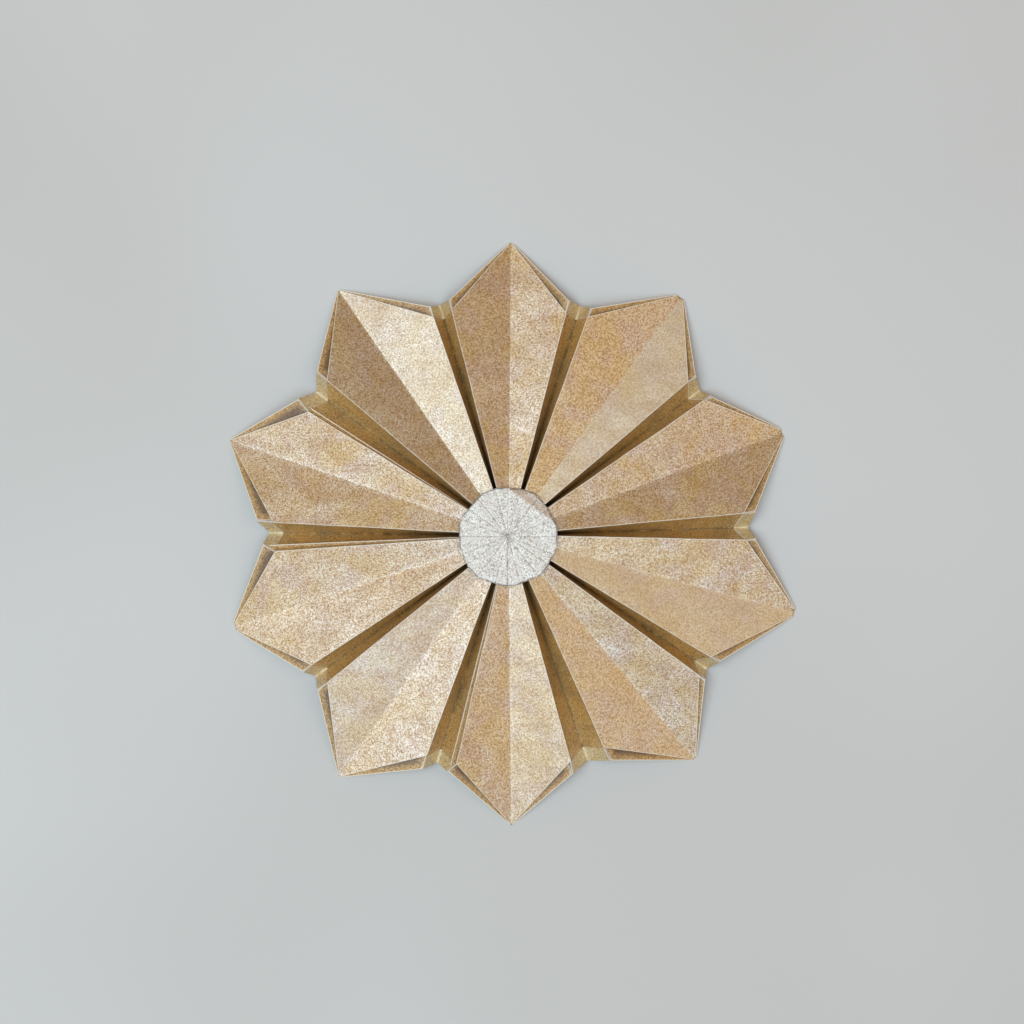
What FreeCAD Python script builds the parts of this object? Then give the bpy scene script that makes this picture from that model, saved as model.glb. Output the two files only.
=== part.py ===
"""Ten-petalled paper star: folded covers and backs, valley gussets and two discs, as a parametric document.

Frame: origin at the middle of the backing disc's rear face, +Z out of the front, one petal along +Y.
Every petal is a shallow trough. Its crease falls from the crown at the centre to a tip that touches the
surface the star lies on. Its long edges stand up beside the V-shaped gussets that join it to its neighbours.
"""
import FreeCAD, Part
import os

import Sketcher

# Driving dimensions: name, value in millimetres (angles in degrees), what it is.
DIMENSIONS = [
    ("petals", 10, "number of petals"),
    ("paper", 0.3, "thickness of the paper"),
    ("glue", 0.12, "glue line between papers"),
    ("tip_radius", 82.5, "centre to petal tip"),
    ("shoulder_radius", 64.5, "centre to the cover's side corner"),
    ("rim_strip", 3.4, "how far the rim corner stands out beyond the shoulder"),
    ("notch_dip", 1.1, "how far the gusset's fold ends inside the rim corners"),
    ("inner_radius", 5.0, "centre to where the folded papers are trimmed"),
    ("gap_half_angle", 3.25, "half the angle between two neighbouring petals"),
    ("crown_rise", 10.0, "front of the covers at the centre, above the surface"),
    ("shoulder_rise", 7.0, "front of a cover at its side corner"),
    ("rim_drop", 1.4, "front of the rim corner, below the shoulder's"),
    ("pocket_depth", 1.2, "hollow between cover and back at the centre"),
    ("hem_width", 3.4, "turned-over band at the gusset's outer end"),
    ("disc_radius", 13.7, "centre disc, to its corners"),
    ("disc_sides", 16, "straight snips round the centre disc"),
    ("backing_radius", 16.0, "backing disc"),
]

PAPER = "Sizes.paper"
GLUE = "Sizes.glue"
GAP_ANGLE = "Sizes.gap_half_angle"
HALF_ANGLE = f"(180 / Sizes.petals - {GAP_ANGLE})"

# A petal's own axis is X. Its two corners, and how far along it they stand.
SHOULDER_X = f"Sizes.shoulder_radius * cos({HALF_ANGLE})"
SHOULDER_Y = f"Sizes.shoulder_radius * sin({HALF_ANGLE})"
RIM_RADIUS = "(Sizes.shoulder_radius + Sizes.rim_strip)"
RIM_X = f"{RIM_RADIUS} * cos({HALF_ANGLE})"
RIM_Y = f"{RIM_RADIUS} * sin({HALF_ANGLE})"
RIM_RISE = "(Sizes.shoulder_rise - Sizes.rim_drop)"

# The back lies on the surface at the tip, with the cover glued on it.
BACK_TIP = PAPER
COVER_TIP = f"(2 * {PAPER} + {GLUE})"
BACK_CROWN = f"(Sizes.crown_rise - {PAPER} - Sizes.pocket_depth)"

# A back's side edges stop clear of the gusset walls, which take up one paper and one glue line.
BACK_INSET = f"({PAPER} + {GLUE}) / cos({HALF_ANGLE})"

# The gusset's fold lies on the backing disc, and its walls are one paper thick, measured across.
FOLD_RISE = f"(2 * {PAPER})"
WALL = f"{PAPER} / cos({GAP_ANGLE})"

# A gap's own axis is X too: the same two corners along it, and the two ends of the hem on the fold.
SHOULDER_ALONG_GAP = f"Sizes.shoulder_radius * cos({GAP_ANGLE})"
RIM_ALONG_GAP = f"{RIM_RADIUS} * cos({GAP_ANGLE})"
NOTCH_X = f"({RIM_RADIUS} - Sizes.notch_dip)"
HEM_X = f"({NOTCH_X} - Sizes.hem_width)"

CLEAR = 3.0  # how far cutting outlines reach past the paper


def build_sizes(doc):
    """The spreadsheet of driving dimensions."""
    sheet = doc.addObject("Spreadsheet::Sheet", "Sizes")
    for row, (name, value, meaning) in enumerate(DIMENSIONS, start=1):
        sheet.set(f"A{row}", meaning)
        sheet.set(f"B{row}", str(value))
        sheet.setAlias(f"B{row}", name)
    doc.recompute()
    return sheet


def origin_plane(body, role):
    """One of a body's own origin planes."""
    return next(plane for plane in body.Origin.OriginFeatures if plane.Role == role)


def outline(body, name, role, points, offset=None):
    """A closed sketch through points, each two expressions, on a plane moved along its normal by offset."""
    sketch = body.newObject("Sketcher::SketchObject", name)
    sketch.AttachmentSupport = [(origin_plane(body, role), "")]
    sketch.MapMode = "FlatFace"
    if offset:
        sketch.setExpression("AttachmentOffset.Base.z", offset)
    count = len(points)
    start = [rough_place(360.0 * index / count) for index in range(count)]
    for index in range(count):
        sketch.addGeometry(Part.LineSegment(start[index], start[(index + 1) % count]), False)
    for index in range(count):
        sketch.addConstraint(Sketcher.Constraint("Coincident", index, 2, (index + 1) % count, 1))
    for index, (across, up) in enumerate(points):
        for kind, expression in (("DistanceX", across), ("DistanceY", up)):
            value = start[index].x if kind == "DistanceX" else start[index].y
            number = sketch.addConstraint(Sketcher.Constraint(kind, -1, 1, index, 1, value))
            sketch.setExpression(f"Constraints[{number}]", expression)
    return sketch


def rough_place(angle):
    """A starting place for a sketch point, on a circle, before its expressions move it."""
    return FreeCAD.Rotation(angle, 0, 0).multVec(FreeCAD.Vector(10, 0, 0))


def strip(body, name, section, near, far):
    """A straight-sided loft of one section rule between two places along a petal or gap."""
    ends = [
        outline(body, f"{name}{end}", "YZ_Plane", section(x), x)
        for end, x in (("Inner", near), ("Outer", far))
    ]
    feature = body.newObject("PartDesign::AdditiveLoft", name)
    feature.Profile = ends[0]
    feature.Sections = ends[1:]
    feature.Ruled = True
    return feature


def cut_through(body, name, sketch):
    """Cuts an outline right through a body, both ways from its plane."""
    feature = body.newObject("PartDesign::Pocket", name)
    feature.Profile = sketch
    feature.Midplane = True
    feature.Type = "Length"
    feature.setExpression("Length", "2 * Sizes.tip_radius")
    return feature


def trough(across, crease, edge):
    """Section of a creased sheet one paper thick, from its half width and the front's two heights."""
    return [
        (f"-({across})", edge),
        (f"-({across})", f"{edge} - {PAPER}"),
        ("0", f"{crease} - {PAPER}"),
        (across, f"{edge} - {PAPER}"),
        (across, edge),
        ("0", crease),
    ]


def cover_crease(x):
    """Front height of a cover's crease, x along it."""
    return f"(Sizes.crown_rise - (Sizes.crown_rise - {COVER_TIP}) * ({x}) / Sizes.tip_radius)"


def cover_edge(radius):
    """Front height of a cover's long edge at a distance from the centre."""
    fall = "(Sizes.crown_rise - Sizes.shoulder_rise) / Sizes.shoulder_radius"
    return f"(Sizes.crown_rise - {fall} * ({radius}))"


def back_crease(x):
    """Front height of a back's crease, x along it."""
    return f"({BACK_CROWN} - ({BACK_CROWN} - {BACK_TIP}) * ({x}) / Sizes.tip_radius)"


def back_edge(x, across):
    """Front height of a back at its side edge: its facets are flat and pass through the rim corner."""
    slope = f"({RIM_RISE} - {back_crease(RIM_X)}) / ({RIM_Y})"
    return f"({back_crease(x)} + {slope} * ({across}))"


def trim_to_point(body, corner_x, corner_y):
    """Cuts a petal's paper off beyond the two straight edges from its side corners to its tip."""
    wide = f"Sizes.tip_radius * sin({HALF_ANGLE}) + {CLEAR}"
    beyond = f"Sizes.tip_radius + {CLEAR}"
    points = [
        (corner_x, corner_y),
        ("Sizes.tip_radius", "0"),
        (corner_x, f"-({corner_y})"),
        (corner_x, f"-({wide})"),
        (beyond, f"-({wide})"),
        (beyond, wide),
        (corner_x, wide),
    ]
    return cut_through(body, "TipCut", outline(body, "TipOutline", "XY_Plane", points))


def cover_section(x):
    """Cover across its crease, reaching the gap on both sides."""
    return trough(f"({x}) * tan({HALF_ANGLE})", cover_crease(x), cover_edge(f"({x}) / cos({HALF_ANGLE})"))


def back_section(x):
    """Back across its crease, stopping short of the gusset walls."""
    across = f"({x}) * tan({HALF_ANGLE}) - {BACK_INSET}"
    return trough(across, back_crease(x), back_edge(x, across))


def build_cover(body):
    """Front kite of a petal: two flat facets about a crease, out to the shoulders and the tip."""
    strip(body, "Facets", cover_section, "Sizes.inner_radius", "Sizes.tip_radius")
    return trim_to_point(body, SHOULDER_X, SHOULDER_Y)


def build_back(body):
    """Rear kite of a petal: glued to the cover at the tip, open beside it, and wider by the rim strip."""
    strip(body, "Facets", back_section, "Sizes.inner_radius", "Sizes.tip_radius")
    return trim_to_point(body, RIM_X, RIM_Y)


def wall_top(x):
    """Height of a gusset's top edges, x along it: a glue line under the cover, right across the wall."""
    fall = f"(Sizes.shoulder_rise - {cover_crease(SHOULDER_X)}) / ({SHOULDER_Y}) * {WALL}"
    return f"({cover_edge(f'({x}) / cos({GAP_ANGLE})')} - {fall} - {PAPER} - {GLUE})"


def half_gap(x):
    """Half the open width between two petals, x along the gap."""
    return f"({x}) * tan({GAP_ANGLE})"


def wall_section(x):
    """V of one paper: open inside, with a narrow flat keel under its fold."""
    gap = half_gap(x)
    outer = f"({gap} + {WALL})"
    keel = f"{FOLD_RISE} - {PAPER}"
    top = wall_top(x)
    return [
        (f"-{outer}", top),
        (f"-{WALL}", keel),
        (WALL, keel),
        (outer, top),
        (gap, top),
        ("0", FOLD_RISE),
        (f"-({gap})", top),
    ]


def hem_section(x):
    """Turned-over paper lying inside the V, rooted halfway into the walls."""
    gap = half_gap(x)
    rooted = f"({gap} + {WALL} / 2)"
    inner = f"({gap} - {WALL})"
    top = wall_top(x)
    return [
        (f"-{rooted}", top),
        ("0", f"{FOLD_RISE} - {PAPER} / 2"),
        (rooted, top),
        (inner, top),
        ("0", f"{FOLD_RISE} + {WALL} * ({top} - {FOLD_RISE}) / ({gap})"),
        (f"-{inner}", top),
    ]


def build_gusset(body):
    """V strip between two petals, with a second thickness where its outer end is turned over as a hem."""
    shoulder = (SHOULDER_ALONG_GAP, wall_top(SHOULDER_ALONG_GAP))
    before = f"{HEM_X} - {CLEAR}"
    beyond = f"Sizes.tip_radius + {CLEAR}"
    above = "Sizes.crown_rise"

    strip(body, "Hem", hem_section, HEM_X, RIM_ALONG_GAP)
    inside = [
        shoulder,
        (SHOULDER_ALONG_GAP, above),
        (before, above),
        (before, FOLD_RISE),
        (HEM_X, FOLD_RISE),
    ]
    cut_through(body, "HemCut", outline(body, "HemOutline", "XZ_Plane", inside))

    strip(body, "Walls", wall_section, "Sizes.inner_radius", RIM_ALONG_GAP)
    outside = [
        shoulder,
        (RIM_ALONG_GAP, RIM_RISE),
        (NOTCH_X, FOLD_RISE),
        (NOTCH_X, "0"),
        (beyond, "0"),
        (beyond, above),
        (SHOULDER_ALONG_GAP, above),
    ]
    return cut_through(body, "RimCut", outline(body, "RimOutline", "XZ_Plane", outside))


def build_ring(doc, label, build, first_angle):
    """One body for each petal or gap, numbered anticlockwise from the +Y petal."""
    step = 360.0 / doc.Sizes.petals
    bodies = []
    for number in range(int(doc.Sizes.petals)):
        body = doc.addObject("PartDesign::Body", f"{label}_{number + 1:02d}")
        body.Label = f"{label}_{number + 1:02d}"
        build(body)
        angle = 90.0 + first_angle + step * number
        body.Placement = FreeCAD.Placement(FreeCAD.Vector(0, 0, 0), FreeCAD.Rotation(angle, 0, 0))
        bodies.append(body)
    return bodies


def build_centre_disc(doc):
    """Many-sided disc glued over the covers' inner ends."""
    disc = doc.addObject("Part::Prism", "centre_disc")
    disc.Label = "centre_disc"
    disc.setExpression("Polygon", "Sizes.disc_sides")
    disc.setExpression("Circumradius", "Sizes.disc_radius")
    disc.setExpression("Height", PAPER)
    disc.setExpression("Placement.Base.z", f"{cover_edge('Sizes.inner_radius')} + {GLUE}")
    return disc


def build_backing_disc(doc):
    """Round disc behind, with the gussets' folds glued to it."""
    disc = doc.addObject("Part::Cylinder", "backing_disc")
    disc.Label = "backing_disc"
    disc.setExpression("Radius", "Sizes.backing_radius")
    disc.setExpression("Height", PAPER)
    return disc


def check(doc, pieces):
    """Stops on any failed object or unsound shape."""
    for item in doc.Objects:
        if "Invalid" in item.State or "Error" in item.State:
            raise RuntimeError(f"{item.Label} did not recompute: {item.State}")
    for piece in pieces:
        if piece.Shape.isNull() or not piece.Shape.isValid() or len(piece.Shape.Solids) != 1:
            raise RuntimeError(f"{piece.Label} is not one sound solid")


def main():
    """Builds the star and writes one STEP file for each piece."""
    doc = FreeCAD.newDocument("PaperStar")
    build_sizes(doc)
    half_step = 180.0 / doc.Sizes.petals
    pieces = build_ring(doc, "petal_cover", build_cover, 0.0)
    pieces += build_ring(doc, "petal_back", build_back, 0.0)
    pieces += build_ring(doc, "valley_gusset", build_gusset, half_step)
    pieces += [build_centre_disc(doc), build_backing_disc(doc)]
    doc.recompute()
    check(doc, pieces)
    os.makedirs("parts", exist_ok=True)
    for piece in pieces:
        piece.Shape.exportStep(f"parts/{piece.Label}.step")
        print(piece.Label, round(piece.Shape.Volume, 2), "mm3")


main()
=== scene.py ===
"""Looks for the ten-petalled paper star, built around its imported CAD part. Lengths are in metres."""
import logging
import math
from dataclasses import dataclass, field
from enum import Enum
from typing import Any, Callable, Sequence

import bmesh
import bpy
from mathutils import Matrix, Vector


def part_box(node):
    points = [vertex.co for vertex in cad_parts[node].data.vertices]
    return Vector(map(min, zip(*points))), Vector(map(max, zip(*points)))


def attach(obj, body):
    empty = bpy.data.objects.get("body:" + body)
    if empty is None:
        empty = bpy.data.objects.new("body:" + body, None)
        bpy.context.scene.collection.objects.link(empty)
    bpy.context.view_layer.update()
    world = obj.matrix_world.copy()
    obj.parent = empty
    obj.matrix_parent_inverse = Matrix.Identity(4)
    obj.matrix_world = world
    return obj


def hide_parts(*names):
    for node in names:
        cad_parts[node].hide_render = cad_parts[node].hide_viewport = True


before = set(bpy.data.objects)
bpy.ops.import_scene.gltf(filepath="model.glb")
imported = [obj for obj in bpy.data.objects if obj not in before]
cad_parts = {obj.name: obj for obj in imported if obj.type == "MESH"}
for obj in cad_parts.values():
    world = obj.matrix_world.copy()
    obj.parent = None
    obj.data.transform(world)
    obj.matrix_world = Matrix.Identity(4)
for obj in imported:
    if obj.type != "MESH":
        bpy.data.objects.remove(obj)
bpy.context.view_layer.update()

LOG = logging.getLogger("paper_star")
MM = 0.001
TINY = 1e-6
CUT_REACH = 1e-7
NEAR = 0.01 * MM
ON_FOLD = 0.02 * MM
FOLD_FACETS = 2
DIGITS = 5
PAPER = 0.3 * MM
BODY = "root"
PETALS = 10
STEP = math.tau / PETALS

Point = tuple[float, float, float]
Colour = tuple[float, float, float, float]
Rule = Callable[[Vector], bool]
Measure = Callable[[Vector], float]


class Half(Enum):
    """The two halves of a petal or a gap, seen from the centre looking out."""

    LEFT = 1
    RIGHT = -1


class Slot(Enum):
    """The record's material slots."""

    PETAL = "petal_paper"
    BACK = "back_paper"
    GUSSET = "gusset_paper"
    DISC = "disc_paper"
    BACKING = "backing_paper"


# Hand tools -----------------------------------------------------------------------------------------------


def select_only(piece: bpy.types.Object) -> None:
    """Selects one object and makes it the active one.

    Args:
        piece: The object.
    """
    bpy.ops.object.select_all(action="DESELECT")
    piece.select_set(True)
    bpy.context.view_layer.objects.active = piece


class Bench:
    """Edit-mode tools for one sheet of paper at a time."""

    def __init__(self, name: str) -> None:
        """Clears the selection and takes a name for the next sheet.

        Args:
            name: The new piece's name.
        """
        if bpy.context.mode != "OBJECT":
            bpy.ops.object.mode_set(mode="OBJECT")
        bpy.ops.object.select_all(action="DESELECT")
        self.name = name
        self.piece: bpy.types.Object | None = None

    def take(self) -> None:
        """Takes the active object, names it and opens it in edit mode."""
        self.piece = bpy.context.active_object
        self.piece.name = self.name
        self.piece.data.name = self.name
        bpy.ops.object.mode_set(mode="EDIT")
        bpy.ops.mesh.select_mode(type="VERT")

    def reopen(self, piece: bpy.types.Object) -> None:
        """Opens a sheet again.

        Args:
            piece: The sheet.
        """
        select_only(piece)
        self.name = piece.name
        self.take()

    def flat_sheet(self, near: float, far: float, half_width: float, cell: float) -> None:
        """Lays out a flat sheet of square cells.

        Args:
            near: Where it starts along X.
            far: Where it ends along X.
            half_width: Half its width in Y.
            cell: Side of a cell.
        """
        bpy.ops.mesh.primitive_grid_add(
            x_subdivisions=math.ceil((far - near) / cell),
            y_subdivisions=2 * math.ceil(half_width / cell),
            size=1.0,
        )
        self.take()
        bpy.ops.mesh.select_all(action="SELECT")
        bpy.ops.transform.resize(value=(far - near, 2 * half_width, 1.0))
        bpy.ops.transform.translate(value=((near + far) / 2, 0.0, 0.0))

    def cut(self, point: Vector, outward: Vector, clear: bool = True) -> None:
        """Cuts the whole sheet along a straight line.

        Args:
            point: A point on the line.
            outward: Square to the line, towards the offcut.
            clear: Whether the offcut is thrown away, or the line is only scored.
        """
        bpy.ops.mesh.select_all(action="SELECT")
        bpy.ops.mesh.bisect(
            plane_co=point,
            plane_no=outward,
            use_fill=False,
            clear_inner=False,
            clear_outer=clear,
            threshold=CUT_REACH,
        )

    def pick(self, rule: Rule) -> int:
        """Selects the vertices that a rule accepts.

        Args:
            rule: Takes a vertex's place and says yes or no.

        Returns:
            How many were selected.
        """
        shape = bmesh.from_edit_mesh(self.piece.data)
        shape.select_mode = {"VERT"}
        bpy.ops.mesh.select_all(action="DESELECT")
        picked = 0
        for vertex in shape.verts:
            if rule(vertex.co):
                vertex.select_set(True)
                picked += 1
        shape.select_flush_mode()
        bmesh.update_edit_mesh(self.piece.data)
        return picked

    def turn(self, angle: float, axis: str, about: Point = (0.0, 0.0, 0.0)) -> None:
        """Turns what is selected, right-handed.

        Args:
            angle: Radians.
            axis: X, Y or Z.
            about: A point on the axis.
        """
        bpy.ops.transform.rotate(
            value=-angle, orient_axis=axis, orient_type="GLOBAL", center_override=about
        )

    def shift(self, by: Point | Vector) -> None:
        """Moves what is selected."""
        bpy.ops.transform.translate(value=tuple(by), orient_type="GLOBAL")

    def turn_all(self, angle: float, axis: str) -> None:
        """Turns the whole sheet about the origin, right-handed."""
        bpy.ops.mesh.select_all(action="SELECT")
        self.turn(angle, axis)

    def soften(self, rule: Rule, width: float) -> None:
        """Rounds a fold, where every vertex of its line is accepted by a rule.

        Args:
            rule: Accepts the fold's vertices.
            width: How far the rounding reaches.
        """
        if self.pick(rule):
            bpy.ops.mesh.bevel(
                offset=width, segments=FOLD_FACETS, profile=0.5, affect="EDGES", offset_type="OFFSET"
            )

    def face_up(self) -> None:
        """Turns the sheet's faces to the front, if they point backwards."""
        shape = bmesh.from_edit_mesh(self.piece.data)
        shape.normal_update()
        if sum(face.normal.z for face in shape.faces) < 0:
            bpy.ops.mesh.flip_normals()

    def close(self) -> bpy.types.Object:
        """Leaves edit mode.

        Returns:
            The sheet.
        """
        bpy.ops.object.mode_set(mode="OBJECT")
        return self.piece


class Press:
    """Object-mode finishing: thickness, waves, marks and the frame's own calls."""

    @staticmethod
    def mark(piece: bpy.types.Object, name: str, rule: Measure) -> None:
        """Writes a number on every vertex.

        Args:
            piece: The sheet.
            name: The attribute's name.
            rule: Takes a vertex's place and gives the number.
        """
        layer = piece.data.attributes.new(name, "FLOAT", "POINT")
        for item, vertex in zip(layer.data, piece.data.vertices):
            item.value = rule(vertex.co)

    @staticmethod
    def apply(piece: bpy.types.Object, kind: str, settings: dict[str, Any]) -> None:
        """Adds one modifier and applies it.

        Args:
            piece: The sheet.
            kind: The modifier's type.
            settings: Its settings.
        """
        select_only(piece)
        modifier = piece.modifiers.new(kind.title(), kind)
        for name, value in settings.items():
            setattr(modifier, name, value)
        bpy.ops.object.modifier_apply(modifier=modifier.name)

    @classmethod
    def wave(cls, piece: bpy.types.Object, size: float, height: float, rule: Measure) -> None:
        """Gives the sheet soft waves.

        Args:
            piece: The sheet, with no thickness yet.
            size: Width of a wave.
            height: From trough to top.
            rule: Takes a vertex's place and gives how loose it is, from 0 to 1.
        """
        group = piece.vertex_groups.new(name="loose")
        for vertex in piece.data.vertices:
            group.add([vertex.index], max(0.0, min(1.0, rule(vertex.co))), "REPLACE")
        clouds = bpy.data.textures.new(f"waves_{piece.name}", "CLOUDS")
        clouds.noise_scale = size
        clouds.noise_depth = 2
        cls.apply(
            piece,
            "DISPLACE",
            {"texture": clouds, "strength": height, "mid_level": 0.5, "vertex_group": group.name},
        )
        piece.vertex_groups.clear()

    @classmethod
    def thicken(cls, piece: bpy.types.Object, thickness: float = PAPER) -> None:
        """Gives the sheet its thickness, behind the face it was drawn on.

        Args:
            piece: The sheet, which has two materials: its own, and the cut edge's.
            thickness: Of the paper.
        """
        cls.apply(
            piece,
            "SOLIDIFY",
            {"thickness": thickness, "offset": -1.0, "use_even_offset": False, "material_offset_rim": 1},
        )

    @staticmethod
    def dress(piece: bpy.types.Object, *materials: bpy.types.Material) -> None:
        """Gives the sheet its materials.

        Args:
            piece: The sheet.
            materials: Its own, then the cut edge's.
        """
        piece.data.materials.clear()
        for material in materials:
            piece.data.materials.append(material)

    @staticmethod
    def hand_over(piece: bpy.types.Object, node: str, slot: Slot, angle: float = 35.0) -> None:
        """Smooths the sheet, and ties it to the frame.

        Args:
            piece: The finished sheet.
            node: The CAD node that it stands for.
            slot: The record's slot for its finish; not used.
            angle: Folds sharper than this, in degrees, stay sharp.
        """
        select_only(piece)
        bpy.ops.object.shade_smooth_by_angle(angle=math.radians(angle))
        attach(piece, BODY)
        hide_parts(node)
        LOG.info("%s made: %d faces", piece.name, len(piece.data.polygons))


def from_line(place: Vector, start: Vector, end: Vector) -> float:
    """How far a point is from a line, seen from the front.

    Args:
        place: The point.
        start: One point of the line.
        end: Another.

    Returns:
        The distance in plan.
    """
    along = (end.xy - start.xy).normalized()
    across = place.xy - start.xy
    return abs(along.x * across.y - along.y * across.x)


# Shader maths ---------------------------------------------------------------------------------------------


class Wire:
    """One output of a node, which can stand in an expression."""

    def __init__(self, shader: "Shader", socket: bpy.types.NodeSocket) -> None:
        """Keeps the socket and the material that it belongs to."""
        self.shader = shader
        self.socket = socket

    def _math(self, operation: str, first: Any, second: Any) -> "Wire":
        """One Math node on two values."""
        return self.shader.node("ShaderNodeMath", {"operation": operation}, {0: first, 1: second})

    def __add__(self, other: Any) -> "Wire":
        """Sum."""
        return self._math("ADD", self, other)

    __radd__ = __add__

    def __sub__(self, other: Any) -> "Wire":
        """Difference."""
        return self._math("SUBTRACT", self, other)

    def __rsub__(self, other: Any) -> "Wire":
        """Difference, the other way round."""
        return self._math("SUBTRACT", other, self)

    def __mul__(self, other: Any) -> "Wire":
        """Product."""
        return self._math("MULTIPLY", self, other)

    __rmul__ = __mul__

    def step(self, low: float, high: float) -> "Wire":
        """Rises from 0 at low to 1 at high, smoothly; falls if low is above high.

        Args:
            low: Where it is 0.
            high: Where it is 1.

        Returns:
            The new value.
        """
        near, far, start, end = (low, high, 0.0, 1.0) if low < high else (high, low, 1.0, 0.0)
        return self.shader.node(
            "ShaderNodeMapRange",
            {"interpolation_type": "SMOOTHSTEP"},
            {"Value": self, "From Min": near, "From Max": far, "To Min": start, "To Max": end},
        )


class Shader:
    """A node material under construction."""

    def __init__(self, name: str) -> None:
        """Starts an empty material.

        Args:
            name: The material's name.
        """
        self.material = bpy.data.materials.new(name)
        self.material.use_nodes = True
        self.tree = self.material.node_tree
        self.tree.nodes.clear()
        self.place = self.node("ShaderNodeTexCoord", {}, {}, "Object")

    def node(
        self, kind: str, settings: dict[str, Any], values: dict[Any, Any], output: int | str = 0
    ) -> Wire:
        """Adds one node.

        Args:
            kind: Its type.
            settings: Its own settings, which are set first.
            values: What its sockets get, a value or a wire each.
            output: Which output is wanted.

        Returns:
            That output.
        """
        made = self.tree.nodes.new(kind)
        for name, value in settings.items():
            setattr(made, name, value)
        for name, value in values.items():
            socket = made.inputs[name]
            if isinstance(value, Wire):
                self.tree.links.new(value.socket, socket)
            else:
                socket.default_value = value
        return Wire(self, made.outputs[output])

    def mix(self, first: Any, second: Any, share: Any) -> Wire:
        """Mixes two colours.

        Args:
            first: Colour at share 0.
            second: Colour at share 1.
            share: From 0 to 1.

        Returns:
            The colour.
        """
        factor, colour_a, colour_b, colour_out = 0, 6, 7, 2
        values = {factor: share, colour_a: first, colour_b: second}
        return self.node("ShaderNodeMix", {"data_type": "RGBA"}, values, colour_out)

    def noise(self, size: float, detail: float = 2.0, rough: float = 0.5, curl: float = 0.0) -> Wire:
        """Cloudy noise.

        Args:
            size: Width of a cloud in metres.
            detail: Octaves.
            rough: How strong the fine ones are.
            curl: How much the clouds are drawn out into worms.

        Returns:
            About 0.3 to 0.7.
        """
        return self.node(
            "ShaderNodeTexNoise",
            {"noise_dimensions": "3D"},
            {
                "Vector": self.place,
                "Scale": 1.0 / size,
                "Detail": detail,
                "Roughness": rough,
                "Distortion": curl,
            },
        )

    def cells(self, size: float) -> Wire:
        """Distance within cells.

        Args:
            size: Width of a cell in metres.

        Returns:
            From 0 in the middle of a cell to about 0.7.
        """
        return self.node(
            "ShaderNodeTexVoronoi",
            {"voronoi_dimensions": "3D", "feature": "F1"},
            {"Vector": self.place, "Scale": 1.0 / size},
        )

    def number_on(self, name: str) -> Wire:
        """A number written on the mesh.

        Args:
            name: The attribute's name.

        Returns:
            Its value.
        """
        settings = {"attribute_type": "GEOMETRY", "attribute_name": name}
        return self.node("ShaderNodeAttribute", settings, {}, "Fac")

    def bump(self, height: Wire, depth: float) -> Wire:
        """A relief.

        Args:
            height: From 0 to 1.
            depth: Metres for a height of 1.

        Returns:
            The normal.
        """
        return self.node("ShaderNodeBump", {}, {"Height": height, "Distance": depth, "Strength": 1.0})

    def finish(self, values: dict[str, Any]) -> bpy.types.Material:
        """Puts everything on one Principled shader.

        Args:
            values: What its sockets get.

        Returns:
            The finished material.
        """
        surface = self.node("ShaderNodeBsdfPrincipled", {}, values)
        output = self.tree.nodes.new("ShaderNodeOutputMaterial")
        self.tree.links.new(surface.socket, output.inputs["Surface"])
        return self.material


def tone(red: float, green: float, blue: float) -> Colour:
    """A colour from its screen values, 0 to 255.

    Args:
        red: Red.
        green: Green.
        blue: Blue.

    Returns:
        The linear colour.
    """
    return (*((c / 255) ** 2.2 for c in (red, green, blue)), 1.0)


# Finishes -------------------------------------------------------------------------------------------------

CORE = tone(252, 236, 212)
# Painted light and painted shade, laid over a whole half of a cover.
PAINTED_FACET_LIGHT = tone(244, 220, 184)
PAINTED_FACET_SHADE = tone(122, 84, 50)


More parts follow.
